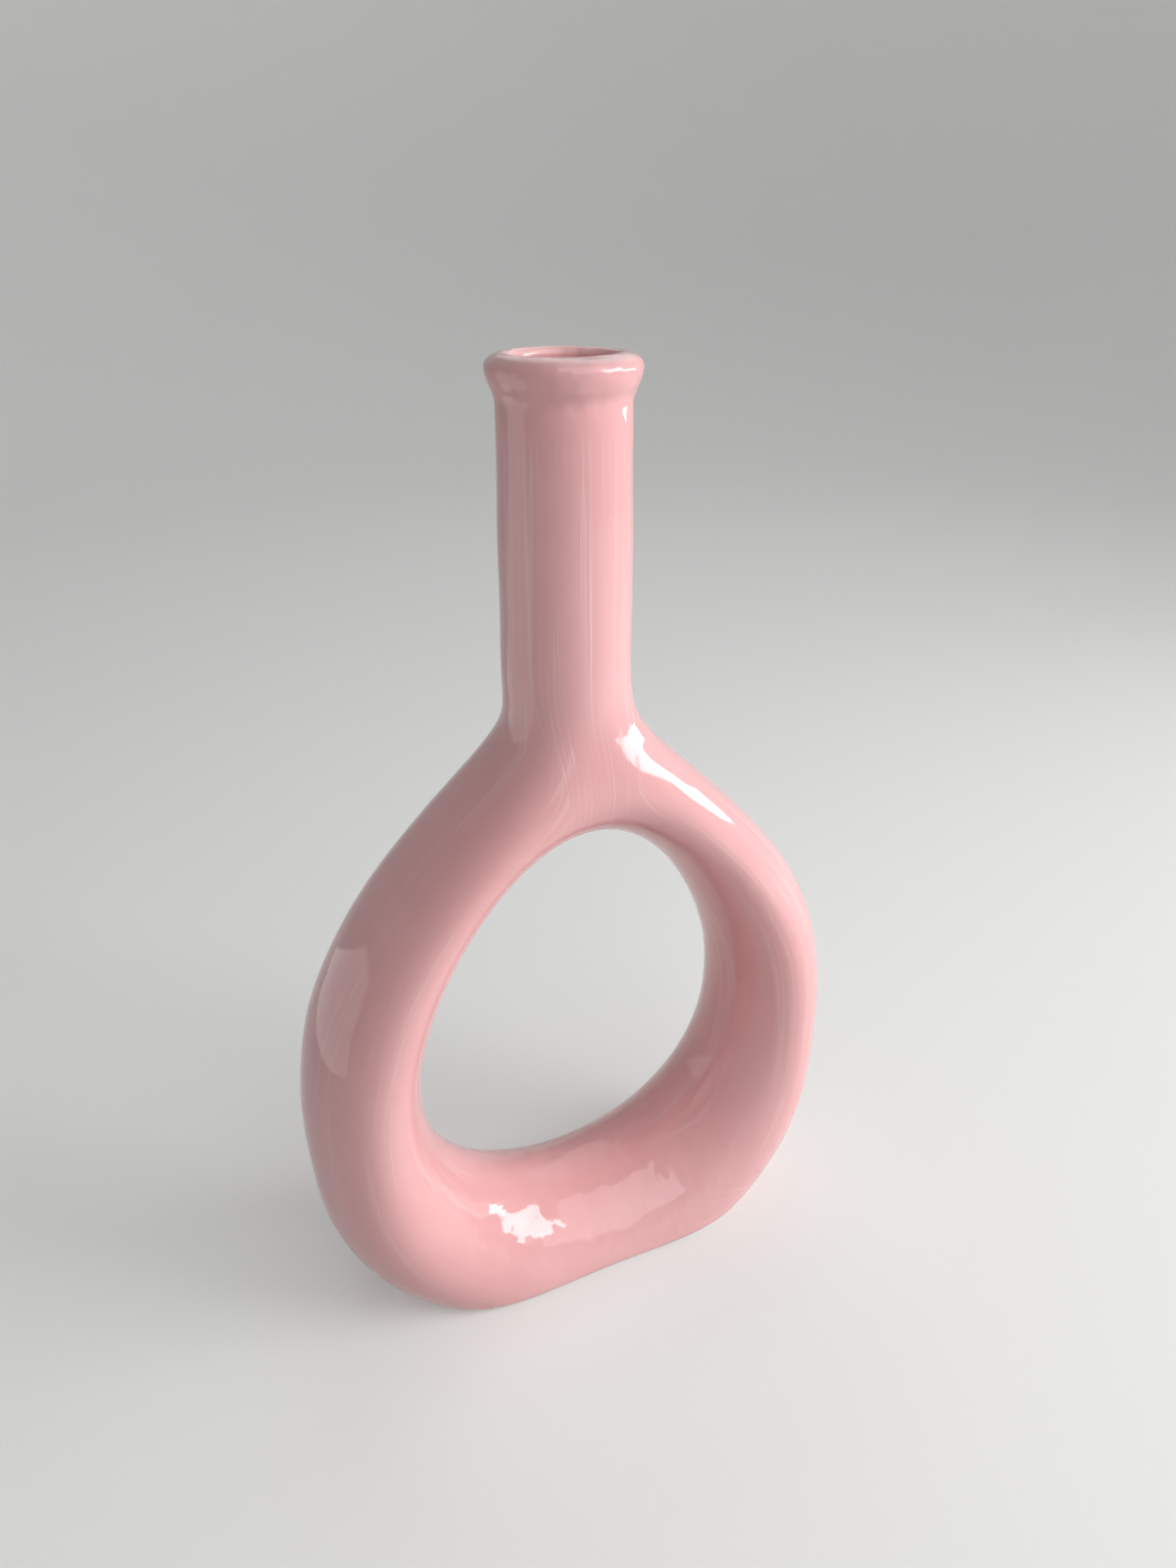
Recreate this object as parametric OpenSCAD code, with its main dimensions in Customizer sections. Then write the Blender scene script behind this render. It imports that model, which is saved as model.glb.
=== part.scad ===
// Ring vase: a hollow ring of glazed clay with an egg-shaped hole through it,
// soft shoulders, a round neck and a rolled lip. The origin is the middle of
// the foot, +Z points up and the front of the ring faces -Y.

/* [Overall] */
// Height from the foot to the crest of the lip
height = 320; // [300:1:360]

/* [Ring] */
// Width of the ring at its widest place
ring_w = 196; // [188:1:210]
// Height of the ring's widest place
widest_z = 76; // [66:1:82]
// How far below the widest place the sides would close if the foot didn't cut them
lower_reach = 92; // [88:1:104]
// Height where the shoulders have run out into the neck
shoulder_z = 236; // [228:1:244]
// Radius of the ring's outer edge, seen from above
outer_edge_r = 34; // [30:1:40]
// Radius of the edge round the hole
hole_edge_r = 34; // [28:1:38]

/* [Hole] */
// Width of the hole half way up
hole_w = 116; // [104:1:120]
// Height of the hole's middle
hole_z = 102; // [98:1:108]
// Height of the hole from its lowest to its highest place
hole_h = 148; // [136:1:154]

/* [Neck and lip] */
// Diameter of the neck where it leaves the shoulders
neck_base_d = 39.4; // [37:0.1:46]
// Diameter of the neck under the lip
neck_top_d = 37.9; // [36:0.1:42]
// Diameter of the lip
lip_d = 43; // [42:0.5:52]
// Width of the lip's rounded outer edge, from its side to its crest
lip_edge_w = 4.2; // [3:0.1:4.6]
// Height of the lip's rounded outer edge
lip_edge_h = 2.9; // [2.2:0.1:3.6]
// Height of the flare from the neck to the lip's edge
lip_flare_h = 9.5; // [8:0.5:16]
// Radius of the edge between the lip's crest and the mouth
mouth_edge_r = 2.2; // [1.6:0.1:2.6]
// Height of the flare inside the mouth
mouth_flare_h = 8; // [5:0.5:12]

/* [Clay and glaze] */
// Thickness of the clay wall
clay_t = 4.5; // [3.5:0.1:5]
// Thickness of the glaze, inside and outside
glaze_t = 0.5; // [0.3:0.1:0.8]
// Thickness of the clay under the hollow
floor_t = 6; // [5:0.5:8]
// Radius of the edge round the foot
foot_edge_r = 4; // [3:0.5:6]
// Height of the bare clay band between the table and the glaze
bare_foot_h = 1; // [0.5:0.1:1.5]

/* [Curves] */
// How long the sides stay upright above the widest place
side_power = 2.65; // [2.4:0.05:3]
// How softly the shoulders fade into the neck
shoulder_power = 1.65; // [1.5:0.05:1.9]
// How tightly the shoulders and the neck are blended
blend_power = 3.8; // [3.2:0.1:4]
// How square the ring's lower corners are
corner_power = 2.5; // [2.2:0.1:2.8]
// How straight the ring's front is, seen from above
front_power = 3.5; // [2.8:0.1:3.8]
// How fast the ring thickens away from the hole
rise_power = 0.8; // [0.6:0.1:1.2]
// How sharply the wall of the hole turns into the front and the back
turn_power = 2; // [1.4:0.1:2.6]
// How much narrower the hole is at its top
egg_share = 0.18; // [0.1:0.01:0.24]

/* [Hidden] */

// Steps from the middle of the neck's foot to its side
neck_n = 5;
// Steps down the side, from the neck to the foot
side_n = 18;
// Steps from the corner of the foot to its middle
foot_n = 6;
// How far round the hole the steps under the neck and those down the side reach
neck_turn = 8;
foot_turn = 140;
// How much the steps down the side close up towards the neck and the foot
close_share = 0.5;
// Steps across one face of the ring, from the hole to the outer edge
band_n = 10;
// Steps of a flare and of a rounded edge on the lip
flare_n = 8;
// Sides of the turned pieces
turn_n = 96;
half_n = neck_n + side_n + foot_n;
ring_n = 2 * half_n;
row_n = 2 * band_n + 1;
corner = neck_n + side_n;

// Depths below the outer surface: under the glaze, inside the clay, inside the lining
under_glaze = glaze_t;
in_clay = glaze_t + clay_t;
in_lining = glaze_t + clay_t + glaze_t;
lining_floor = floor_t + glaze_t;

neck_base_r = neck_base_d / 2;
neck_top_r = neck_top_d / 2;
lip_r = lip_d / 2;
bore_r = neck_base_r - in_lining;
lip_crest_r = lip_r - lip_edge_w;
mouth_r = lip_crest_r - mouth_edge_r;
lip_edge_z = height - lip_edge_h;
flare_z = lip_edge_z - lip_flare_h;
mouth_edge_z = height - mouth_edge_r;
mouth_z = mouth_edge_z - mouth_flare_h; // the top of the straight bore

// Share of the ring's half width left at height z: 1 at the widest place, 0 in the neck
function swell(z, t) =
    z > widest_z
    ? pow(1 - pow(min(1, (z - widest_z) / (shoulder_z - t - widest_z)), side_power), shoulder_power)
    : pow(1 - pow((widest_z - z) / (lower_reach - t), corner_power), 1 / corner_power);

// The ring and the neck in the blend at height z, t below the surface
function ring_part(z, t) =
    (pow(ring_w / 2 - t, blend_power) - pow(neck_base_r - t, blend_power)) * pow(swell(z, t), blend_power);
function neck_part(t) = pow(neck_base_r - t, blend_power);

// Half width of the outline at height z, and how much of it is the ring's
function outline(z, t) = pow(ring_part(z, t) + neck_part(t), 1 / blend_power);
function ring_share(z, t) = ring_part(z, t) / (ring_part(z, t) + neck_part(t));

// How far the rounded edge of the foot draws the outline in, h above it
function foot_in(h) =
    foot_edge_r - sqrt(pow(foot_edge_r, 2) - pow(max(0, foot_edge_r - max(0, h)), 2));

// Where a point lies from the hole's middle: 1 on the hole's edge, more outside it
function egg(x, z, t) =
    let (v = (z - hole_z) / (hole_h / 2 + t))
    norm([x / ((hole_w / 2 + t) * (1 - egg_share * v)), v]);

// Half depth of the ring at x and z, t below the surface, over a foot at foot_z
function depth(x, z, t, foot_z) =
    let (
        in = foot_in(z - foot_z),
        half = outline(z, t) - in,
        share = ring_share(z, t),
        edge = half * (1 - share) + (outer_edge_r - t - in) * share,
        power = 2 + (front_power - 2) * share,
        from_side = 2 * edge * half * (1 - pow(min(1, abs(x) / half), power)) / power,
        rise = (pow(max(1, egg(x, z, t)), rise_power) - 1) / rise_power,
        from_hole = 2 * (hole_edge_r - t - in) * (hole_w / 2 + t) * rise,
        both = pow(from_hole, turn_power) + pow(share * from_side, turn_power)
    )
    sqrt(from_side * from_hole / pow(both, 1 / turn_power));

// How far down the side step j lies, from 0 at the neck to 1 at the foot
function down(j) =
    let (u = (j - neck_n) / side_n)
    u - close_share * sin(360 * u) / (2 * PI);

// A place on the hole's edge, and its partner on the neck, the side or the foot
function hole_point(j, t) =
    let (
        a = j < neck_n ? neck_turn * j / neck_n
            : j < corner ? neck_turn + (foot_turn - neck_turn) * down(j)
            : foot_turn + (180 - foot_turn) * (j - corner) / foot_n
    )
    [
        (hole_w / 2 + t) * (1 - egg_share * cos(a)) * sin(a),
        hole_z + (hole_h / 2 + t) * cos(a)
    ];
function side_point(z, t, foot_z) = [outline(z, t) - foot_in(z - foot_z), z];
function edge_point(j, t, foot_z, low_z) =
    j < neck_n ? [(neck_base_r - t) * sin(90 * j / neck_n), shoulder_z]
    : j <= corner ? side_point(shoulder_z + (low_z - shoulder_z) * down(j), t, foot_z)
    : [side_point(low_z, t, foot_z).x * sin(90 * (half_n - j) / foot_n), low_z];

// The steps whose outer end is on the side, where the front and the back meet
function meets(k) = let (j = min(k, ring_n - k)) j >= neck_n && j <= corner;

// Point i of step k, on the front (-1) or the back (1)
function skin_point(k, i, face, t, foot_z, low_z) =
    let (
        j = min(k, ring_n - k),
        f = (1 - cos(180 * i / band_n)) / 2,
        p = hole_point(j, t) * (1 - f) + edge_point(j, t, foot_z, low_z) * f,
        on_edge = i == 0 || (i == band_n && meets(k))
    )
    [
        k <= half_n ? p.x : -p.x,
        on_edge ? 0 : face * depth(p.x, p.y, t, foot_z),
        p.y
    ];

// All points of one skin of the ring, t below the surface, down to low_z
function skin(t, foot_z, low_z) = [
    for (k = [0 : ring_n - 1]) each concat(
        [for (i = [0 : band_n]) skin_point(k, i, -1, t, foot_z, low_z)],
        [for (i = [1 : band_n]) skin_point(k, i, 1, t, foot_z, low_z)]
    )
];
skin_size = ring_n * row_n;

// The number of point i of step k in a skin that starts at number first
function at(k, i, face, first) =
    let (shared = i == 0 || (i == band_n && meets(k)))
    first + (k % ring_n) * row_n + (face < 0 || shared ? i : band_n + i);

// Two triangles for four corners, and the same seen from the other side
function quad(a, b, c, d) = [[a, b, c], [a, c, d]];
function flip(faces) = [for (f = faces) [for (i = [len(f) - 1 : -1 : 0]) f[i]]];

// The faces of one skin, seen from outside
function skin_faces(first) = [
    for (k = [0 : ring_n - 1], i = [0 : band_n - 1]) each concat(
        quad(
            at(k, i, -1, first), at(k, i + 1, -1, first),
            at(k + 1, i + 1, -1, first), at(k + 1, i, -1, first)
        ),
        quad(
            at(k, i, 1, first), at(k + 1, i, 1, first),
            at(k + 1, i + 1, 1, first), at(k, i + 1, 1, first)
        )
    )
];

// The open edges of a skin: round the neck and round the foot
function neck_loop(first) = concat(
    [for (j = [-neck_n : neck_n]) at(j + ring_n, band_n, -1, first)],
    [for (j = [neck_n - 1 : -1 : 1 - neck_n]) at(j + ring_n, band_n, 1, first)]
);
function foot_loop(first) = concat(
    [for (k = [corner : ring_n - corner]) at(k, band_n, -1, first)],
    [for (k = [ring_n - corner - 1 : -1 : corner + 1]) at(k, band_n, 1, first)]
);

// A strip between two loops, and a flat face that closes one
function strip(a, b) = [
    for (i = [0 : len(a) - 1])
        let (n = (i + 1) % len(a))
        each quad(a[i], b[i], b[n], a[n])
];
function closed(loop) = [[for (i = [len(loop) - 1 : -1 : 0]) loop[i]]];

// A layer of the ring between two skins, open at the neck and round the foot
module open_layer(t_out, t_in, low_z) {
    polyhedron(
        points = concat(skin(t_out, 0, low_z), skin(t_in, 0, low_z)),
        faces = concat(
            skin_faces(0),
            flip(skin_faces(skin_size)),
            strip(neck_loop(0), neck_loop(skin_size)),
            strip(foot_loop(0), foot_loop(skin_size))
        )
    );
}

// A layer of the ring between two skins, with its own floor
module floored_layer(t_out, t_in, floor_out, floor_in) {
    polyhedron(
        points = concat(skin(t_out, floor_out, floor_out), skin(t_in, floor_in, floor_in)),
        faces = concat(
            skin_faces(0),
            closed(foot_loop(0)),
            flip(skin_faces(skin_size)),
            flip(closed(foot_loop(skin_size))),
            strip(neck_loop(0), neck_loop(skin_size))
        )
    );
}

// The bare foot under the glaze: the outline of the foot at height z
function foot_outline(z) = let (s = skin(under_glaze, 0, z)) [for (n = foot_loop(0)) s[n]];

// The hollow clay ring, down to its bare foot
module ring_body() {
    foot = foot_outline(0);
    foot_start = 2 * skin_size;
    foot_edge = [for (i = [0 : len(foot) - 1]) foot_start + i];
    color("tan")
    polyhedron(
        points = concat(skin(under_glaze, 0, bare_foot_h), skin(in_clay, floor_t, floor_t), foot),
        faces = concat(
            skin_faces(0),
            strip(foot_loop(0), foot_edge),
            closed(foot_edge),
            flip(skin_faces(skin_size)),
            flip(closed(foot_loop(skin_size))),
            strip(neck_loop(0), neck_loop(skin_size))
        )
    );
}

// The pink glaze on the ring's outside
module ring_glaze() {
    color("lightpink") open_layer(0, under_glaze, bare_foot_h);
}

// The glaze that seals the hollow of the ring
module ring_lining() {
    color("mistyrose") floored_layer(in_clay, in_lining, floor_t, lining_floor);
}

// A smooth step from 0 to 1
function ease(u) = u * u * (3 - 2 * u);

// Points of a flare, from a radius at one height to a radius at another
function flare(from_r, to_r, from_z, to_z) = [
    for (i = [0 : flare_n])
        let (u = i / flare_n)
        [from_r + (to_r - from_r) * ease(u), from_z + (to_z - from_z) * u]
];

// Points of a quarter of an oval round r and z, from its side to its top
function rounded(r, z, width, rise) = [
    for (i = [0 : flare_n])
        let (a = 90 * i / flare_n)
        [r + width * cos(a), z + rise * sin(a)]
];

// A list of points without its first one, and one turned round
function rest(points) = [for (i = [1 : len(points) - 1]) points[i]];
function backwards(points) = [for (i = [len(points) - 1 : -1 : 0]) points[i]];

// The neck's outside, from the shoulders up to the crest of the lip, t below the surface
function neck_outside(t) = concat(
    [[neck_base_r - t, shoulder_z]],
    flare(neck_top_r - t, lip_r - t, flare_z, lip_edge_z),
    rest(rounded(lip_crest_r, lip_edge_z, lip_edge_w - t, lip_edge_h - t))
);

// The neck's inside, from the crest of the lip down to the shoulders, t below the surface
function neck_inside(t) = concat(
    backwards(rounded(lip_crest_r, mouth_edge_z, t - mouth_edge_r, mouth_edge_r - t)),
    rest(backwards(flare(bore_r + t, mouth_r + t, mouth_z, mouth_edge_z))),
    [[bore_r + t, shoulder_z]]
);

// The clay neck with its rolled lip
module neck() {
    color("tan")
    rotate_extrude($fn = turn_n)
    polygon(concat(neck_outside(under_glaze), neck_inside(under_glaze)));
}

// The glaze on the neck's outside, up to the crest of the lip
module neck_glaze() {
    color("lightpink")
    rotate_extrude($fn = turn_n)
    polygon(concat(neck_outside(0), backwards(neck_outside(under_glaze))));
}

// The glaze from the crest of the lip down the bore
module neck_lining() {
    color("mistyrose")
    rotate_extrude($fn = turn_n)
    polygon(concat(neck_inside(0), backwards(neck_inside(under_glaze))));
}

ring_body();
neck();
ring_glaze();
neck_glaze();
ring_lining();
neck_lining();
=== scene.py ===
from math import cos, pi, radians, sin

import bpy
import numpy as np
from mathutils import Matrix, Vector


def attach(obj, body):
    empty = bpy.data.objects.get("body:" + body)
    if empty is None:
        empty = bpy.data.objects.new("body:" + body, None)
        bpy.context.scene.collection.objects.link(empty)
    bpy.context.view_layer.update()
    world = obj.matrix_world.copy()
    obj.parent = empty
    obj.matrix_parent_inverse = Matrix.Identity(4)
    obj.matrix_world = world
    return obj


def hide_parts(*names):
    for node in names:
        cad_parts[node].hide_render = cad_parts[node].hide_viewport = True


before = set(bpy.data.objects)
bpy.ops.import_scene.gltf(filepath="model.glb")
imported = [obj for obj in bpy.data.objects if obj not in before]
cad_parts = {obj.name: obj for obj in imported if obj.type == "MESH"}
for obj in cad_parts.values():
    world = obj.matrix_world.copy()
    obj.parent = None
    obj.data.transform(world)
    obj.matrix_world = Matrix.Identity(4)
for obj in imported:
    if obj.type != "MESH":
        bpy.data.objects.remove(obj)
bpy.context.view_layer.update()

# A ring vase in glazed ceramic. The settings of its form are in millimetres,
# which become metres when a mesh is made, and those of the looks in metres.

print("frame loaded:", ", ".join(sorted(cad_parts)))


ring = {
    # outline: lowerReach is how far its curve would go on below the widest place
    "width": 196, "widestZ": 76, "lowerReach": 92, "shoulderZ": 236,
    "sidePower": 2.65, "shoulderPower": 1.65, "cornerPower": 2.5, "blendPower": 3.8,
    # hole, and the share by which it is narrower at the top and wider below
    "holeWidth": 116, "holeZ": 102, "holeHeight": 148, "eggShare": 0.18,
    # section: roundness at the outer edge and at the hole, then how flat the front
    # is, how the hole's side rises and how sharply the two meet
    "outerEdgeR": 34, "holeEdgeR": 34, "frontPower": 3.5, "risePower": 0.8, "turnPower": 2,
    # foot, thickness of the floor over it and height of the bare clay
    "footEdgeR": 4, "floor": 6, "bareFoot": 1,
    # rows of the grid by stretch, and columns from the outer edge to the hole
    "neckSteps": 40, "sideSteps": 120, "footSteps": 40, "bandSteps": 40,
    # degrees round the hole, from its top, where the neck's rows end and the
    # foot's begin, and how much closer the rows between them stand at both ends
    "neckTurn": 8, "footTurn": 140, "closeShare": 0.5,
}

neck = {
    "baseR": 19.7, "topR": 18.95, "top": 320,
    "lipR": 21.5, "lipEdgeWidth": 4.5, "lipEdgeHeight": 3.8, "lipFlare": 9.5,
    "mouthEdgeR": 2.2, "mouthFlare": 8,
    "settle": 24,  # height over which the shaft takes up its slant
    "shaftSteps": 60, "flareSteps": 24, "edgeSteps": 18,
}

layers = {
    "glaze": 0.5, "clay": 4.5,
    "beadSteps": 6, "beadDrop": 0.25,  # the rounded end of the glaze over the foot
}

brush = {
    "drop": 60, "catchUp": 200,  # extra way over the hole, made up for down the arms
    "seam": 5,                   # the lines fade out this close to the hole's middle line,
    "lipZ": (294, 304),          # between these heights under the lip,
    "footShare": 0.6,            # and over this share of the rows under the foot
}

hand = {
    "wave": 46, "sway": 0.16, "fullZ": 20,  # slow unevenness, its size, and the height where it is full
    "swayX": (0.6, 1, 1.1, 0.5),     # share of the wave along x and z, its start, and share of a
    "swayY": (0.8, -0.7, 2.3, 0.4),  # second wave, which goes along y in swayX and along z in swayY
    "halfDepth": 31,                 # of the ring, for keeping the waves inside it
    "shifts": [(230, -0.6, 17), (201, 0.8, 20), (325, 0.66, 38)],  # height, push to the right and reach
    "dip": 0.6, "dipTurn": 25, "dipZ": (290, 315),  # the lip is lower on one side
    "ripple": 0.16, "rippleWaves": 3, "rippleStart": 0.7, "rippleZ": (308, 318),  # and a little wavy
    "oval": 0.11, "ovalR": (20.5, 17.5), "ovalZ": (300, 314),  # the mouth is narrower from front to back
}


def ease(u):
    # a smooth step from nothing to one
    u = np.clip(u, 0, 1)
    return u * u * (3 - 2 * u)


def ramp(value, start, end):
    # the same step, from nothing at the start value to one at the end value
    return ease((value - start) / (end - start))


def ringSwell(z, inset):
    # share of the ring's width at height z: one at the widest place, falling
    # as a power of the height to nothing at the shoulders and under the foot
    up = (z - ring["widestZ"]) / (ring["shoulderZ"] - inset - ring["widestZ"])
    down = (ring["widestZ"] - z) / (ring["lowerReach"] - inset)
    above = (1 - np.clip(up, 0, 1) ** ring["sidePower"]) ** ring["shoulderPower"]
    below = (1 - np.clip(down, 0, 1) ** ring["cornerPower"]) ** (1 / ring["cornerPower"])
    return np.where(z > ring["widestZ"], above, below)


def ringOutline(z, inset):
    # half width at height z: ring and neck added as powers, which blends them;
    # the second value is how much of it belongs to the ring
    power = ring["blendPower"]
    neckPart = (neck["baseR"] - inset) ** power
    ringPart = ((ring["width"] / 2 - inset) ** power - neckPart) * ringSwell(z, inset) ** power
    return (ringPart + neckPart) ** (1 / power), ringPart / (ringPart + neckPart)


def footIn(h):
    # how far a quarter circle draws the outline in, h above the foot
    r = ring["footEdgeR"]
    return r - np.sqrt(r * r - np.clip(r - h, 0, r) ** 2)


def ringDepth(x, z, inset, footZ):
    # half depth: its square is the smaller of two growing values, one from
    # the outer side and one from the egg-shaped hole, joined by a power that
    # sets how sharply one turns into the other
    cut = footIn(z - footZ)
    half, share = ringOutline(z, inset)
    half = half - cut
    holeHalf = ring["holeWidth"] / 2 + inset
    v = (z - ring["holeZ"]) / (ring["holeHeight"] / 2 + inset)
    egg = np.hypot(x / (holeHalf * (1 - ring["eggShare"] * v)), v)
    edge = half * (1 - share) + (ring["outerEdgeR"] - inset - cut) * share
    power = 2 + (ring["frontPower"] - 2) * share
    fromSide = 2 * edge * half * (1 - np.minimum(1, np.abs(x) / half) ** power) / power
    rise = (np.maximum(1, egg) ** ring["risePower"] - 1) / ring["risePower"]
    fromHole = 2 * (ring["holeEdgeR"] - inset - cut) * holeHalf * rise
    power = ring["turnPower"]
    both = (fromHole ** power + (share * fromSide) ** power) ** (1 / power)
    return np.sqrt(fromSide * fromHole / np.maximum(1e-9, both))


def ringSkin(inset, footZ, lowZ):
    # grid of points: rows go round the hole, columns cross the ring from the
    # outer edge over the front to the hole and over the back to the edge again
    nNeck, nSide, nFoot, nBand = (ring[k] for k in ("neckSteps", "sideSteps", "footSteps", "bandSteps"))
    half, corner = nNeck + nSide + nFoot, nNeck + nSide
    row = np.arange(2 * half)
    j = np.minimum(row, 2 * half - row)
    u = np.clip((j - nNeck) / nSide, 0, 1)
    down = u - ring["closeShare"] * np.sin(2 * pi * u) / (2 * pi)
    turn = np.where(j < nNeck, ring["neckTurn"] * j / nNeck,
                    ring["neckTurn"] + (ring["footTurn"] - ring["neckTurn"]) * down)
    turn = np.radians(turn + (180 - ring["footTurn"]) * np.clip((j - corner) / nFoot, 0, 1))
    holeX = (ring["holeWidth"] / 2 + inset) * (1 - ring["eggShare"] * np.cos(turn)) * np.sin(turn)
    holeZ = ring["holeZ"] + (ring["holeHeight"] / 2 + inset) * np.cos(turn)
    edgeZ = ring["shoulderZ"] + (lowZ - ring["shoulderZ"]) * down
    sideX = ringOutline(edgeZ, inset)[0] - footIn(edgeZ - footZ)
    neckX = (neck["baseR"] - inset) * np.sin(pi / 2 * np.clip(j / nNeck, 0, 1))
    footX = sideX * np.sin(pi / 2 * np.clip((half - j) / nFoot, 0, 1))
    edgeX = np.where(j < nNeck, neckX, footX)
    column = np.arange(-nBand, nBand + 1)
    f = (1 - np.cos(pi * column / nBand)) / 2
    x = holeX[:, None] * (1 - f) + edgeX[:, None] * f
    z = holeZ[:, None] * (1 - f) + edgeZ[:, None] * f
    meets = (j >= nNeck) & (j <= corner)
    flat = (column == 0)[None, :] | (meets[:, None] & (np.abs(column) == nBand)[None, :])
    y = np.where(flat, 0, np.sign(column) * ringDepth(x, z, inset, footZ))
    points = np.stack([np.where((row <= half)[:, None], x, -x), y, z], -1)
    index = np.arange(points.shape[0] * points.shape[1]).reshape(points.shape[:2])
    index[meets, -1] = index[meets, 0]
    return points, index


def gridFaces(index):
    # one face for each cell of a grid whose rows close on themselves
    a, b = index, np.roll(index, -1, axis=0)
    return np.stack([a[:, :-1], b[:, :-1], b[:, 1:], a[:, 1:]], -1).reshape(-1, 4)


def stripFaces(a, b):
    # one face for each step along two closed loops
    return np.stack([a, b, np.roll(b, -1), np.roll(a, -1)], -1)


def neckLoop(index):
    # the loop round the neck: the edge's columns over the first rows
    n = ring["neckSteps"]
    return np.concatenate([index[np.arange(-n, n + 1), 0], index[np.arange(n - 1, -n, -1), -1]])


def footLoop(index):
    # the loop round the foot: the edge's columns over the lowest rows
    corner = ring["neckSteps"] + ring["sideSteps"]
    last = index.shape[0] - corner
    return np.concatenate([index[corner:last + 1, 0], index[last - 1:corner:-1, -1]])


def ringFlow(points):
    # the stroke of a brush drawn down the neck and round the arms. x and y go
    # round the neck's circle: the hole's edge keeps the line that comes down
    # the middle of the front or the back, and the outer edge the one from the
    # side. z is the way along the stroke, and the fourth value how much the
    # lines show: nothing on the hole's middle line and under the foot
    nNeck, nBand = ring["neckSteps"], ring["bandSteps"]
    corner, half = nNeck + ring["sideSteps"], len(points) // 2
    row = np.arange(2 * half)
    j = np.minimum(row, 2 * half - row)
    hop = np.linalg.norm(np.diff(points, axis=1), axis=2)
    front = np.cumsum(hop[:, nBand - 1::-1], axis=1)[:, ::-1]
    back = np.cumsum(hop[:, nBand:], axis=1)
    across = np.concatenate([front / front[:, :1], 0 * front[:, :1], back / back[:, -1:]], axis=1)
    quarter = pi / 2 * (1 - across * np.clip(j / nNeck, 0, 1)[:, None])
    turn = np.where(np.arange(2 * nBand + 1) > nBand, quarter, -quarter)
    side = np.where(row <= half, 1, -1)[:, None]
    step = np.linalg.norm(points - np.roll(points, 1, axis=0), axis=2).mean(axis=1)
    way = np.cumsum(np.where((row > nNeck) & (row <= half), step, 0))[j][:, None]
    along = way + brush["drop"] * (1 - across) * (1 - ease(way / brush["catchUp"]))
    shown = ease(np.abs(points[..., 1]) / brush["seam"])
    shown = shown * (1 - ease((j - corner) / (brush["footShare"] * ring["footSteps"])))[:, None]
    return np.stack([side * neck["baseR"] * np.cos(turn), neck["baseR"] * np.sin(turn), along, shown], -1)


def ringLayer(outer, inner, outerLow, innerLow, rim):
    # closed layer between two skins of the ring, each given as inset, height
    # of the foot's curve and lowest height. rim says what closes it below:
    # "bead" rounds the open edge, "floor" closes both skins, and "foot" also
    # carries the outer one straight down to the table
    a, ia = ringSkin(outer, *outerLow)
    b, ib = ringSkin(inner, *innerLow)
    ib = ib + a[..., 0].size
    points = np.concatenate([a.reshape(-1, 3), b.reshape(-1, 3)])
    flow = np.concatenate([ringFlow(a).reshape(-1, 4), ringFlow(b).reshape(-1, 4)])
    faces = [gridFaces(ia)[:, ::-1], gridFaces(ib), stripFaces(neckLoop(ia), neckLoop(ib))]
    edge, edgeIn = footLoop(ia), footLoop(ib)
    if rim == "bead":
        turn = np.linspace(0, pi, layers["beadSteps"] + 1)[1:-1, None, None]
        rows = points[edge] * (1 + np.cos(turn)) / 2 + points[edgeIn] * (1 - np.cos(turn)) / 2
        rows[..., 2] -= layers["beadDrop"] * np.sin(turn[..., 0])
    elif rim == "foot":
        standing, index = ringSkin(outer, outerLow[0], 0)
        rows = standing.reshape(-1, 3)[footLoop(index)][None]
    else:
        rows = np.zeros((0, len(edge), 3))
    added = len(points) + np.arange(len(rows) * len(edge)).reshape(len(rows), len(edge))
    points = np.concatenate([points, rows.reshape(-1, 3)])
    flow = np.concatenate([flow, np.tile(flow[edge], (len(rows), 1))])
    loops = [edge, *added] + ([edgeIn] if rim == "bead" else [])
    faces += [stripFaces(lower, upper) for upper, lower in zip(loops, loops[1:])]
    caps = [] if rim == "bead" else [loops[-1][::-1].tolist(), edgeIn.tolist()]
    return points, np.concatenate(faces), caps, flow


def joinRuns(*runs):
    # one profile of radii and heights from several runs, each of which starts
    # where the one before it ends
    first, *others = (np.stack(run, -1) for run in runs)
    return np.concatenate([first] + [run[1:] for run in others])


def neckOutside(inset):
    # profile from the shoulders to the crest: a slant that sets in slowly, an
    # eased flare and a quarter ellipse
    edgeW, edgeH = neck["lipEdgeWidth"], neck["lipEdgeHeight"]
    edgeZ = neck["top"] - edgeH
    flareZ = edgeZ - neck["lipFlare"]
    length, settle = flareZ - ring["shoulderZ"], neck["settle"]
    h = np.linspace(0, length, neck["shaftSteps"] + 1)
    slant = np.where(h < settle, h * h / (2 * settle), h - settle / 2) / (length - settle / 2)
    shaftR = neck["baseR"] - inset - (neck["baseR"] - neck["topR"]) * slant
    u = np.linspace(0, 1, neck["flareSteps"] + 1)
    flareR = neck["topR"] - inset + (neck["lipR"] - neck["topR"]) * ease(u)
    turn = np.linspace(0, pi / 2, neck["edgeSteps"] + 1)
    edgeR = neck["lipR"] - edgeW + (edgeW - inset) * np.cos(turn)
    return joinRuns((shaftR, ring["shoulderZ"] + h), (flareR, flareZ + neck["lipFlare"] * u),
                    (edgeR, edgeZ + (edgeH - inset) * np.sin(turn)))


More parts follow.
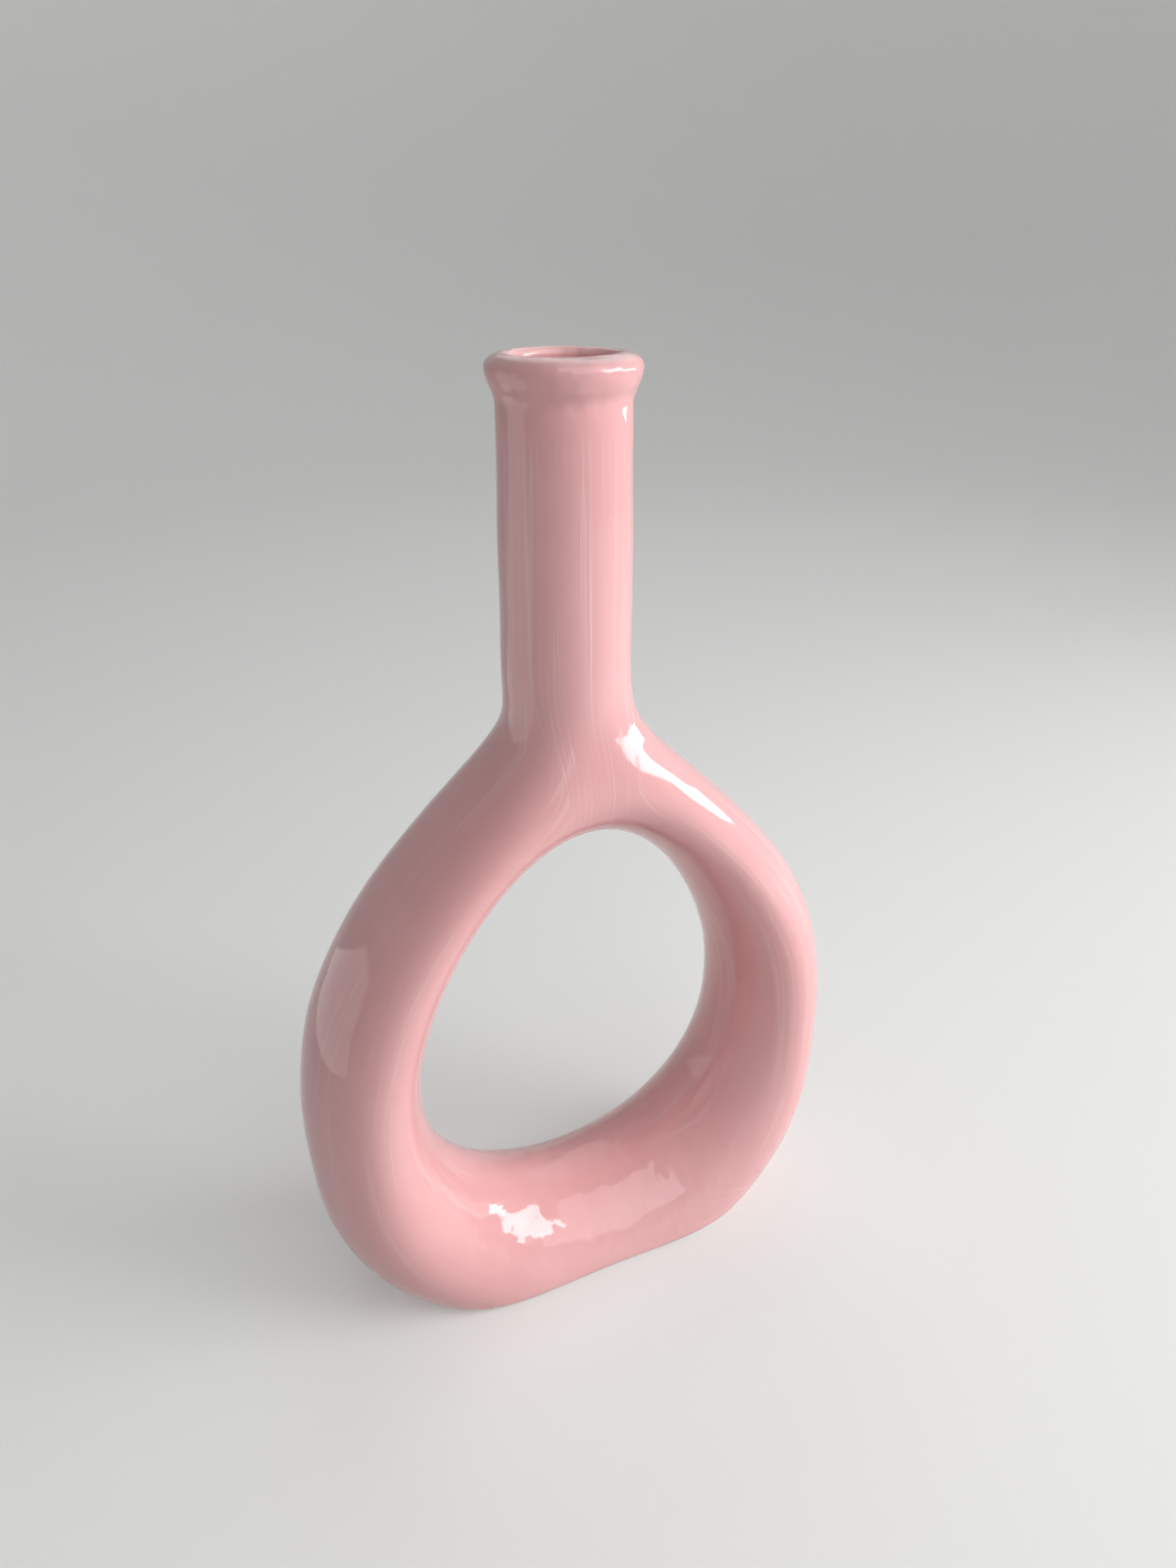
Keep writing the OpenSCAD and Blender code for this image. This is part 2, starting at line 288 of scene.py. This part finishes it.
def neckInside(inset):
    # profile from the crest down to the shoulders: a quarter circle, an eased
    # flare into the bore and the straight bore
    bore = neck["baseR"] - 2 * layers["glaze"] - layers["clay"]
    crest, rounding = neck["lipR"] - neck["lipEdgeWidth"], neck["mouthEdgeR"]
    edgeZ = neck["top"] - rounding
    turn = np.linspace(0, pi / 2, neck["edgeSteps"] + 1)
    edgeR = crest - (rounding - inset) * np.sin(turn)
    u = np.linspace(0, 1, neck["flareSteps"] + 1)
    flareR = bore + inset + (crest - rounding - bore) * ease(1 - u)
    flareZ = edgeZ - neck["mouthFlare"] * u
    boreZ = np.linspace(flareZ[-1], ring["shoulderZ"], neck["shaftSteps"] + 1)
    return joinRuns((edgeR, edgeZ + (rounding - inset) * np.cos(turn)), (flareR, flareZ),
                    (bore + inset + 0 * boreZ, boreZ))


def neckLayer(profile):
    # closed profile turned about the upright axis, with the brush's stroke
    # straight down the neck
    turn = np.arange(4 * ring["neckSteps"]) * pi / (2 * ring["neckSteps"])
    x = np.cos(turn)[:, None] * profile[:, 0]
    y = np.sin(turn)[:, None] * profile[:, 0]
    z = profile[:, 1] + 0 * x
    points = np.stack([x, y, z], -1)
    index = np.arange(x.size).reshape(x.shape)
    index = np.concatenate([index, index[:, :1]], axis=1)
    circle = neck["baseR"] * np.stack([np.cos(turn), np.sin(turn)], -1)[:, None] + 0 * points[..., :2]
    shown = 1 - ramp(z, *brush["lipZ"])
    flow = np.concatenate([circle, (ring["shoulderZ"] - z)[..., None], shown[..., None]], -1)
    return points.reshape(-1, 3), gridFaces(index), [], flow.reshape(-1, 4)


def handMade(points):
    # the form as a hand leaves it: slow waves move it sideways, always kept
    # inside its true size, bell-shaped pushes set the neck a little askew on
    # the shoulders, the lip dips to one side and ripples, and its crest is
    # drawn in at the front and the back, less and less towards its outer edge
    x, y, z = points.T
    k, a = 2 * pi / hand["wave"], hand["sway"]
    moving = ease(z / hand["fullZ"])
    shrinkX, shrinkY = 1 - a / (ring["width"] / 2), 1 - a / hand["halfDepth"]
    alongX, alongZ, start, second = hand["swayX"]
    wave = np.sin(alongX * k * x + alongZ * k * z + start) * np.cos(second * k * y)
    newX = x * shrinkX + a * moving * wave
    alongX, alongZ, start, second = hand["swayY"]
    wave = np.sin(alongX * k * x + alongZ * k * z + start) * np.cos(second * k * z)
    newY = y * shrinkY + a * moving * wave
    for height, push, reach in hand["shifts"]:
        newX = newX + push * np.exp(-((z - height) / reach) ** 2)
    newY = newY * (1 - hand["oval"] * ramp(np.hypot(x, y), *hand["ovalR"]) * ramp(z, *hand["ovalZ"]))
    angle = np.arctan2(y, x)
    dip = hand["dip"] * ((1 + np.cos(angle - radians(hand["dipTurn"]))) / 2) ** 2
    ripple = hand["ripple"] * (1 + np.sin(hand["rippleWaves"] * angle + hand["rippleStart"])) / 2
    newZ = z - dip * ramp(z, *hand["dipZ"]) - ripple * ramp(z, *hand["rippleZ"])
    return np.stack([newX, newY, newZ], -1)


sharpAngle = 40  # degrees between two faces from which their edge stays sharp


def makePiece(name, layer, material, node):
    # a mesh from one layer's arrays, without the points that no face uses,
    # and turned outwards if its volume is negative
    points, faces, caps, flow = layer
    used = np.zeros(len(points), bool)
    used[faces] = True
    number = np.cumsum(used) - 1
    points, flow, faces = handMade(points[used]) / 1000, flow[used], number[faces]
    a, b, c, d = (points[faces[:, i]] for i in range(4))
    volume = (np.cross(a, b) * c + np.cross(a, c) * d).sum() / 6
    faceList = faces.tolist() + [[int(number[i]) for i in cap] for cap in caps]
    if volume < 0:
        faceList = [face[::-1] for face in faceList]
    mesh = bpy.data.meshes.new(name)
    mesh.from_pydata(points.tolist(), [], faceList)
    mesh.attributes.new("flow", "FLOAT_VECTOR", "POINT").data.foreach_set("vector", flow[:, :3].ravel())
    mesh.attributes.new("brushed", "FLOAT", "POINT").data.foreach_set("value", flow[:, 3])
    mesh.shade_smooth()
    mesh.set_sharp_from_angle(angle=radians(sharpAngle))
    mesh.materials.append(material)
    piece = bpy.data.objects.new(name, mesh)
    bpy.context.collection.objects.link(piece)
    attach(piece, "root")
    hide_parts(node)
    print(name, "made:", len(faceList), "faces")


def feed(tree, socket, value):
    # a link where value is another node's output, otherwise the plain value
    if isinstance(value, bpy.types.NodeSocket):
        tree.links.new(value, socket)
    else:
        socket.default_value = value


def nodeAt(tree, kind, **sockets):
    # a shader node with its named inputs fed
    node = tree.nodes.new(kind)
    for name, value in sockets.items():
        feed(tree, node.inputs[name], value)
    return node


def placeOn(tree):
    # the place on the vase, in metres
    return tree.nodes.new("ShaderNodeTexCoord").outputs["Object"]


def maths(tree, operation, *values):
    # one step of arithmetic
    node = tree.nodes.new("ShaderNodeMath")
    node.operation = operation
    for socket, value in zip(node.inputs, values):
        feed(tree, socket, value)
    return node.outputs[0]


def spread(tree, value, low, high, toLow=0.0, toHigh=1.0):
    # value carried from one range to another, eased and held at its ends
    node = tree.nodes.new("ShaderNodeMapRange")
    node.interpolation_type = "SMOOTHSTEP"
    for socket, given in zip(node.inputs, (value, low, high, toLow, toHigh)):
        feed(tree, socket, given)
    return node.outputs[0]


def mixColour(tree, share, a, b):
    # colour a turned into colour b by a share
    node = tree.nodes.new("ShaderNodeMix")
    node.data_type = "RGBA"
    for i, value in ((0, share), (6, a), (7, b)):
        feed(tree, node.inputs[i], value)
    return node.outputs[2]


def noiseAt(tree, place, scale, detail=2.0, rough=0.5):
    # soft noise between nothing and one
    node = nodeAt(tree, "ShaderNodeTexNoise", Vector=place, Scale=scale, Detail=detail, Roughness=rough)
    return node.outputs[0]


def newGroup(name, inputs, outputName, outputKind):
    # a shader group with one output, and with inputs that are colours where
    # their value has four parts and numbers elsewhere
    tree = bpy.data.node_groups.new(name, "ShaderNodeTree")
    for label, value in inputs.items():
        kind = "NodeSocketColor" if isinstance(value, tuple) else "NodeSocketFloat"
        tree.interface.new_socket(label, in_out="INPUT", socket_type=kind).default_value = value
    tree.interface.new_socket(outputName, in_out="OUTPUT", socket_type=outputKind)
    return tree, tree.nodes.new("NodeGroupInput").outputs, tree.nodes.new("NodeGroupOutput").inputs[0]


def addGroup(tree, group, **values):
    # the output of a group placed in a tree with its named inputs fed
    node = tree.nodes.new("ShaderNodeGroup")
    node.node_tree = group
    for name, value in values.items():
        feed(tree, node.inputs[name], value)
    return node.outputs[0]


strokes = {
    # gap and length in millimetres, and the part of the noise that shows
    "lines": (1.2, 70, (0.48, 0.74)),
    "bundles": (6, 105, (0.34, 0.60)),
    "rough": 0.55,
}


def buildBrushGroup():
    # fine lines along the brush's stroke, in the flow attribute: stretched
    # noise, of which only the crests are kept, in loose bundles
    tree, given, out = newGroup("brush lines", {"Share": 0.5}, "Lines", "NodeSocketFloat")
    flow = tree.nodes.new("ShaderNodeAttribute")
    flow.attribute_name = "flow"
    brushed = tree.nodes.new("ShaderNodeAttribute")
    brushed.attribute_name = "brushed"
    lines = maths(tree, "MULTIPLY", brushed.outputs["Fac"], given["Share"])
    for gap, length, shown in (strokes["lines"], strokes["bundles"]):
        stretch = tree.nodes.new("ShaderNodeVectorMath")
        stretch.operation = "MULTIPLY"
        feed(tree, stretch.inputs[0], flow.outputs["Vector"])
        feed(tree, stretch.inputs[1], (1 / gap, 1 / gap, 1 / length))
        crests = spread(tree, noiseAt(tree, stretch.outputs[0], 1.0, rough=strokes["rough"]), *shown)
        lines = maths(tree, "MULTIPLY", lines, crests)
    feed(tree, out, lines)
    return tree


glazeSurface = {
    # heights of the relief and places on the vase in metres, scales per metre
    "pools": 0.00016, "poolScale": 62, "poolRough": 0.35,         # shallow, all over
    "puddles": 0.00075, "puddleScale": 150, "puddleRough": 0.40,  # deeper, where glaze gathers
    "peel": 0.000006, "peelScale": 520,                           # fine orange peel
    "streaks": 0.00005,                                           # brushed lines
    "lip": (0.302, 0.308),                                        # glaze gathers from here to here,
    "bowl": (0.056, 0.040), "bowlReach": (0.062, 0.045),          # and at the bottom of the hole,
    "bowlPuddles": 0.5,                                           # by this share
}


def buildRippleGroup():
    # height of the glaze: wide shallow pools, deeper puddles under the lip and
    # at the bottom of the hole, a fine orange peel, and the brush's lines
    g = glazeSurface
    sizes = {"Pools": g["pools"], "Puddles": g["puddles"], "Peel": g["peel"], "Streaks": g["streaks"]}
    tree, given, out = newGroup("glaze ripple", sizes, "Height", "NodeSocketFloat")
    place = placeOn(tree)
    spot = nodeAt(tree, "ShaderNodeSeparateXYZ", Vector=place).outputs
    lip = spread(tree, spot["Z"], *g["lip"])
    bowl = maths(tree, "MULTIPLY", spread(tree, spot["Z"], *g["bowl"]), g["bowlPuddles"])
    bowl = maths(tree, "MULTIPLY", bowl, spread(tree, maths(tree, "ABSOLUTE", spot["X"]), *g["bowlReach"]))
    gathered = maths(tree, "MULTIPLY", maths(tree, "MAXIMUM", lip, bowl), given["Puddles"])
    pools = noiseAt(tree, place, g["poolScale"], detail=1.0, rough=g["poolRough"])
    puddles = noiseAt(tree, place, g["puddleScale"], detail=1.0, rough=g["puddleRough"])
    puddles = maths(tree, "SUBTRACT", puddles, 0.5)  # as far up as down
    peel = noiseAt(tree, place, g["peelScale"], detail=1.0)
    height = addGroup(tree, brushGroup, Share=given["Streaks"])
    for noise, size in ((pools, given["Pools"]), (puddles, gathered), (peel, given["Peel"])):
        height = maths(tree, "MULTIPLY_ADD", noise, size, height)
    feed(tree, out, height)
    return tree


pinkGlaze = {
    "tone": {
        "Deep": (0.770, 0.388, 0.394, 1), "Pale": (0.800, 0.425, 0.432, 1),
        # the colour of thin glaze in the brush's lines, and on the crest and the foot also a painted
        # highlight
        "ThinAndSheen": (0.86, 0.61, 0.61, 1), "Brushed": 0.45,
    },
    "driftScale": 14, "driftDetail": 3.0, "drift": (0.35, 0.65),  # noise from deep to pale
    "crest": (0.3168, 0.3196), "foot": (0.0026, 0.0010),          # paler from here to here, in metres, as thin glaze with a painted highlight on the crest and the foot's edge,
    "thinAndSheenShare": 0.45,                                            # by this share
    "roughness": 0.045, "haze": (0.8, 1.3),                       # and its share at both ends of the noise
    "hazeScale": 90, "hazeFrom": (0.3, 0.7), "ior": 1.52,
    "insideRelief": {"Pools": 0.0001, "Streaks": 0.0},            # the linings' own relief
}


def buildToneGroup():
    # colour of the glaze: a slow drift between a deeper and a paler pink, and
    # paler still in the brush's lines, and on the lip's crest and round the foot,
    # where thin glaze and a painted highlight are laid on together
    g = pinkGlaze
    tree, given, out = newGroup("glaze tone", g["tone"], "Color", "NodeSocketColor")
    place = placeOn(tree)
    drift = spread(tree, noiseAt(tree, place, g["driftScale"], detail=g["driftDetail"]), *g["drift"])
    colour = mixColour(tree, drift, given["Deep"], given["Pale"])
    z = nodeAt(tree, "ShaderNodeSeparateXYZ", Vector=place).outputs["Z"]
    # painted highlight with thin glaze: paler on the lip's crest and at the foot's edge
    ends = maths(tree, "MAXIMUM", spread(tree, z, *g["crest"]), spread(tree, z, *g["foot"]))
    lines = addGroup(tree, brushGroup, Share=given["Brushed"])
    thinAndSheen = maths(tree, "MAXIMUM", maths(tree, "MULTIPLY", ends, g["thinAndSheenShare"]), lines)
    feed(tree, out, mixColour(tree, thinAndSheen, colour, given["ThinAndSheen"]))
    return tree


brushGroup = buildBrushGroup()
rippleGroup = buildRippleGroup()
toneGroup = buildToneGroup()


def newMaterial(name):
    # an empty material, its tree and its surface
    material = bpy.data.materials.new(name)
    material.use_nodes = True
    tree = material.node_tree
    return material, tree, tree.nodes["Principled BSDF"]


def glazeMaterial(name, relief):
    # the glaze as a clear gloss: the tone group's colour, the ripple group's
    # relief, with its own values where they are given, and a faint haze
    g = pinkGlaze
    material, tree, surface = newMaterial(name)
    feed(tree, surface.inputs["Base Color"], addGroup(tree, toneGroup, **g["tone"]))
    height = addGroup(tree, rippleGroup, **relief)
    bump = nodeAt(tree, "ShaderNodeBump", Height=height, Strength=1.0, Distance=1.0)
    feed(tree, surface.inputs["Normal"], bump.outputs[0])
    low, high = (g["roughness"] * share for share in g["haze"])
    haze = spread(tree, noiseAt(tree, placeOn(tree), g["hazeScale"]), *g["hazeFrom"], low, high)
    feed(tree, surface.inputs["Roughness"], haze)
    surface.inputs["IOR"].default_value = g["ior"]
    return material


outsideGlaze = glazeMaterial("pinkGlazeOutside", {})
insideGlaze = glazeMaterial("pinkGlazeInside", pinkGlaze["insideRelief"])


clayFinish = {
    "deep": (0.66, 0.54, 0.44, 1), "pale": (0.76, 0.66, 0.56, 1), "cloudScale": 45, "cloudDetail": 3.0,
    "speck": (0.42, 0.33, 0.26, 1), "speckScale": 700, "speckReach": (0.16, 0.10),
    "gritScale": 900, "gritDetail": 4.0, "gritRough": 0.65, "gritFrom": (0.2, 0.8),
    "roughness": (0.72, 0.92), "relief": 0.00008, "reliefShare": 0.6,
}


def clayMaterial():
    # bare fired clay: warm off-white, a fine grit and a few darker specks
    c = clayFinish
    material, tree, surface = newMaterial("bareClay")
    place = placeOn(tree)
    grit = noiseAt(tree, place, c["gritScale"], detail=c["gritDetail"], rough=c["gritRough"])
    cloud = noiseAt(tree, place, c["cloudScale"], detail=c["cloudDetail"])
    colour = mixColour(tree, cloud, c["deep"], c["pale"])
    toSpeck = nodeAt(tree, "ShaderNodeTexVoronoi", Vector=place, Scale=c["speckScale"]).outputs[0]
    colour = mixColour(tree, spread(tree, toSpeck, *c["speckReach"]), colour, c["speck"])
    feed(tree, surface.inputs["Base Color"], colour)
    feed(tree, surface.inputs["Roughness"], spread(tree, grit, *c["gritFrom"], *c["roughness"]))
    bump = nodeAt(tree, "ShaderNodeBump", Height=grit, Strength=c["reliefShare"], Distance=c["relief"])
    feed(tree, surface.inputs["Normal"], bump.outputs[0])
    return material


bareClay = clayMaterial()
print("materials made")

glaze, wall = layers["glaze"], layers["glaze"] + layers["clay"]
lined = wall + glaze
overFoot = (0, ring["bareFoot"])
onFloor, overFloor = (ring["floor"],) * 2, (ring["floor"] + glaze,) * 2

ringGlaze = ringLayer(0, glaze, overFoot, overFoot, "bead")
ringClay = ringLayer(glaze, wall, overFoot, onFloor, "foot")
ringLining = ringLayer(wall, lined, onFloor, overFloor, "floor")
makePiece("ringGlaze", ringGlaze, outsideGlaze, "ring_glaze")
makePiece("ringClay", ringClay, bareClay, "ring_body")
makePiece("ringLining", ringLining, insideGlaze, "ring_lining")

outside, underGlaze = neckOutside(0), neckOutside(glaze)
inside, underLining = neckInside(0), neckInside(glaze)
neckGlaze = neckLayer(np.concatenate([outside, underGlaze[::-1]]))
neckClay = neckLayer(np.concatenate([underGlaze, underLining[1:]]))
neckLining = neckLayer(np.concatenate([inside, underLining[::-1]]))
makePiece("neckGlaze", neckGlaze, outsideGlaze, "neck_glaze")
makePiece("neckClay", neckClay, bareClay, "neck")
makePiece("neckLining", neckLining, insideGlaze, "neck_lining")

studio = {
    # metres
    "flatRings": (0.4, 0.8), "floorR": 1.3, "bendR": 0.7, "wallTop": 2.4, "bendSteps": 24, "sides": 128,
    "paper": (0.635, 0.64, 0.63, 1), "paperRoughness": 0.42, "paperShine": 0.35,
    "glow": (0.21, 0.212, 0.207, 1),  # what the camera and mirrors see on top of the paper
    "sky": (0.96, 0.97, 1.0, 1), "skyStrength": 0.11,
    "aimZ": 0.15,  # height on the vase that the lamps stand round
}


def paperMaterial():
    # matt pale paper, with a glow that only the camera and mirrors see, so
    # that it lights nothing
    s = studio
    material, tree, surface = newMaterial("paleSweep")
    surface.inputs["Base Color"].default_value = s["paper"]
    surface.inputs["Roughness"].default_value = s["paperRoughness"]
    surface.inputs["Specular IOR Level"].default_value = s["paperShine"]
    rays = tree.nodes.new("ShaderNodeLightPath").outputs
    seen = maths(tree, "MAXIMUM", rays["Is Camera Ray"], rays["Is Glossy Ray"])
    seen = maths(tree, "MAXIMUM", seen, rays["Is Transmission Ray"])
    feed(tree, surface.inputs["Emission Color"], mixColour(tree, seen, (0, 0, 0, 1), s["glow"]))
    surface.inputs["Emission Strength"].default_value = 1.0
    return material


def makeSweep():
    # round studio sweep: a profile turned about the upright axis, flat on the
    # floor, then a quarter circle, then a wall
    s = studio
    bend = np.linspace(0, pi / 2, s["bendSteps"])
    wallR = s["floorR"] + s["bendR"]
    r = np.concatenate([s["flatRings"], s["floorR"] + s["bendR"] * np.sin(bend), [wallR]])
    z = np.concatenate([[0, 0], s["bendR"] * (1 - np.cos(bend)), [s["wallTop"]]])
    turn = np.arange(s["sides"])[:, None] * 2 * pi / s["sides"]
    points = np.stack([np.cos(turn) * r, np.sin(turn) * r, z + 0 * turn], -1)
    index = np.arange(points[..., 0].size).reshape(points.shape[:2])
    faces = gridFaces(index)[:, ::-1].tolist() + [index[:, 0].tolist()]
    mesh = bpy.data.meshes.new("sweep")
    mesh.from_pydata(points.reshape(-1, 3).tolist(), [], faces)
    mesh.shade_smooth()
    sweep = bpy.data.objects.new("sweep", mesh)
    bpy.context.collection.objects.link(sweep)
    mesh.materials.append(paperMaterial())


makeSweep()

view = {
    # metres, degrees, and pixels of the picture's height and focal length
    "place": (-0.12477, -0.28827, 0.35251), "yaw": 24.46, "pitch": 27.314, "roll": -0.656,
    "focus": 1130.1, "imageHeight": 1600,
}
forward = Vector((sin(radians(view["yaw"])), cos(radians(view["yaw"])), 0))
right = Vector((forward.y, -forward.x, 0))


def makeCamera():
    # looks forward and down by the pitch, and is turned by the roll
    pitch, roll = radians(view["pitch"]), radians(view["roll"])
    ahead = forward * cos(pitch) - Vector((0, 0, sin(pitch)))
    up = right.cross(ahead)
    side = right * cos(roll) + up * sin(roll)
    up = up * cos(roll) - right * sin(roll)
    data = bpy.data.cameras.new("camera")
    data.sensor_fit, data.sensor_height = "VERTICAL", 36
    data.lens = view["focus"] / view["imageHeight"] * data.sensor_height
    data.clip_start = 0.01
    camera = bpy.data.objects.new("camera", data)
    turned = Matrix((side, up, -ahead)).transposed().to_4x4()
    camera.matrix_world = Matrix.Translation(view["place"]) @ turned
    bpy.context.collection.objects.link(camera)
    bpy.context.scene.camera = camera


makeCamera()

lights = {
    # turn is how far round to the right of the camera a lamp stands and rise
    # how high, in degrees as seen from the vase. Distance and size are in
    # metres and power in watts. A lamp faces the vase, unless tilt points it
    # up by so many degrees; spin turns it in its own plane, and beam narrows
    # its light to a cone. The strip is mirrored as the streak on the right
    # shoulder, the key down the neck and the card on the left arm
    "strip": dict(turn=110.8, rise=8.2, distance=1.2, size=(0.65, 0.15), power=0.6, spin=-15, beam=65),
    "key": dict(turn=81, rise=21, distance=1.5, size=(0.80, 0.66), power=5.6, spin=6, beam=110),
    "softTop": dict(turn=42, rise=40, distance=1.45, size=(1.5, 1.5), power=11.2),
    "back": dict(turn=172, rise=50, distance=1.3, size=(1.1, 1.1), power=2.4),
    "card": dict(turn=-84.8, rise=2.3, distance=0.726, size=(0.51, 0.82), power=0.95, tilt=67.8, spin=-8),
}


def makeLight(name, turn, rise, distance, size, power, tilt=None, spin=0, beam=180):
    # a rectangular lamp, placed by two angles and a distance from the vase
    outward = right * sin(radians(turn)) - forward * cos(radians(turn))
    away = outward * cos(radians(rise)) + Vector((0, 0, sin(radians(rise))))
    rear = away if tilt is None else outward * cos(radians(tilt)) - Vector((0, 0, sin(radians(tilt))))
    across = Matrix.Rotation(radians(spin), 3, rear) @ Vector((0, 0, 1)).cross(rear).normalized()
    data = bpy.data.lights.new(name, "AREA")
    data.shape, data.size, data.size_y = "RECTANGLE", size[0], size[1]
    data.energy, data.spread = power, radians(beam)
    light = bpy.data.objects.new(name, data)
    light.location = Vector((0, 0, studio["aimZ"])) + away * distance
    light.rotation_euler = Matrix((across, rear.cross(across), rear)).transposed().to_euler()
    light.visible_camera = False
    bpy.context.collection.objects.link(light)


for name, settings in lights.items():
    makeLight(name, **settings)

world = bpy.data.worlds.new("studio")
bpy.context.scene.world = world
world.use_nodes = True
sky = world.node_tree.nodes["Background"]
sky.inputs["Color"].default_value = studio["sky"]
sky.inputs["Strength"].default_value = studio["skyStrength"]
bpy.context.scene.view_settings.view_transform = "Standard"
print("studio made")
